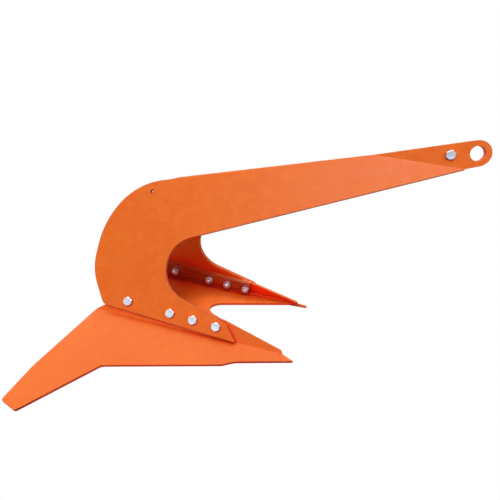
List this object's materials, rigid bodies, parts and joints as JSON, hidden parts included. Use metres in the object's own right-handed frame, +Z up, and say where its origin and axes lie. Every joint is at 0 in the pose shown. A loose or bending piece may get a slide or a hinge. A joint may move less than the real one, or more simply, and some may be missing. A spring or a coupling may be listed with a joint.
{
  "type": "plow anchor",
  "caption": "Plow anchor: twin curved shank plates joined at a shackle eye, bolted to a folded fluke with two forward prongs, a V notch and swept tails.",
  "frame": {"origin": "centre of the shackle eye, on the mirror plane", "axes": "+X from the fluke towards the eye, +Z up with the anchor standing on its two prong tips and two tail ends, Y across; right is -Y"},
  "size_m": [1.1086, 0.8826, 0.4904],
  "materials": {
    "paint_orange": "gloss enamel over rolled steel plate",
    "weld_paint": "enamel over weld beads",
    "primer_brown": "dull red-brown primer under orange overspray",
    "zinc": "bright zinc plated fasteners"
  },
  "bodies": {
    "root": {"backing_bar_left": "primer_brown", "backing_bar_right": "primer_brown", "blade_weld_left": "weld_paint", "blade_weld_right": "weld_paint", "bolt_left_1": "zinc", "bolt_left_2": "zinc", "bolt_left_3": "zinc", "bolt_left_4": "zinc", "bolt_right_1": "zinc", "bolt_right_2": "zinc", "bolt_right_3": "zinc", "bolt_right_4": "zinc", "bolt_shank": "zinc", "fluke_blade": "paint_orange", "fluke_wing_left": "paint_orange", "fluke_wing_right": "paint_orange", "nut_left_1": "zinc", "nut_left_2": "zinc", "nut_left_3": "zinc", "nut_left_4": "zinc", "nut_right_1": "zinc", "nut_right_2": "zinc", "nut_right_3": "zinc", "nut_right_4": "zinc", "nut_shank": "zinc", "shank_plate_left": "paint_orange", "shank_plate_right": "paint_orange", "under_weld_left": "weld_paint", "under_weld_right": "weld_paint"}
  },
  "joints": []
}
